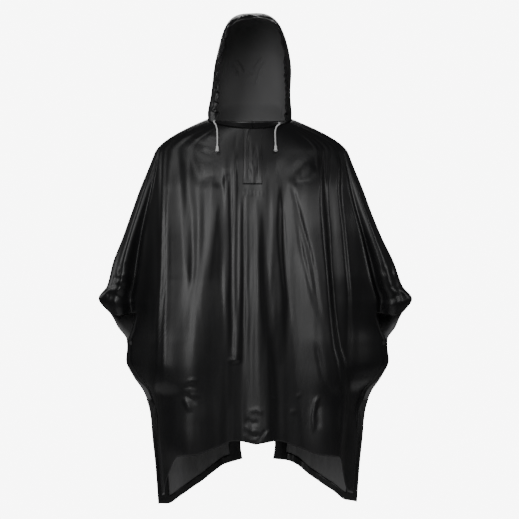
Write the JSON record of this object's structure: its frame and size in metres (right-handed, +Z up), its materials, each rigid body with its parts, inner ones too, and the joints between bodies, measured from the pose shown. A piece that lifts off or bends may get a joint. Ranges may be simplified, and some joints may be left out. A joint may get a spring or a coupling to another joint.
{
  "type": "hooded rain poncho",
  "caption": "Black semi-gloss hooded rain poncho, filled out as worn, with a neck placket, white drawcord ends and snaps at the sides.",
  "frame": {"origin": "the middle of the neck opening, at the height where the poncho rests on its wearer's shoulders", "axes": "+Z up along the body, front towards -Y, +X towards the wearer's left arm"},
  "size_m": [0.9308, 0.3346, 1.4855],
  "materials": {
    "coated_cloth": "semi-gloss PVC coating outside, matt grey-black backing inside",
    "black_snap": "satin",
    "eyelet_metal": "satin",
    "white_cord": "matt braid",
    "white_plastic": "moulded"
  },
  "bodies": {
    "root": {"front_panel": "coated_cloth", "back_panel": "coated_cloth", "back_hem_left": "coated_cloth", "back_hem_right": "coated_cloth", "placket_overlap": "coated_cloth", "placket_underlap": "coated_cloth", "hood_side_left": "coated_cloth", "hood_side_right": "coated_cloth", "hood_center": "coated_cloth", "hood_channel": "coated_cloth", "eyelet_left": "eyelet_metal", "eyelet_right": "eyelet_metal", "cord_left": "white_cord", "cord_right": "white_cord", "cord_end_left": "white_plastic", "cord_end_right": "white_plastic", "snap_cap_left_upper": "black_snap", "snap_cap_left_lower": "black_snap", "snap_cap_right_upper": "black_snap", "snap_cap_right_lower": "black_snap", "snap_stud_left_upper": "black_snap", "snap_stud_left_lower": "black_snap", "snap_stud_right_upper": "black_snap", "snap_stud_right_lower": "black_snap"}
  },
  "joints": []
}
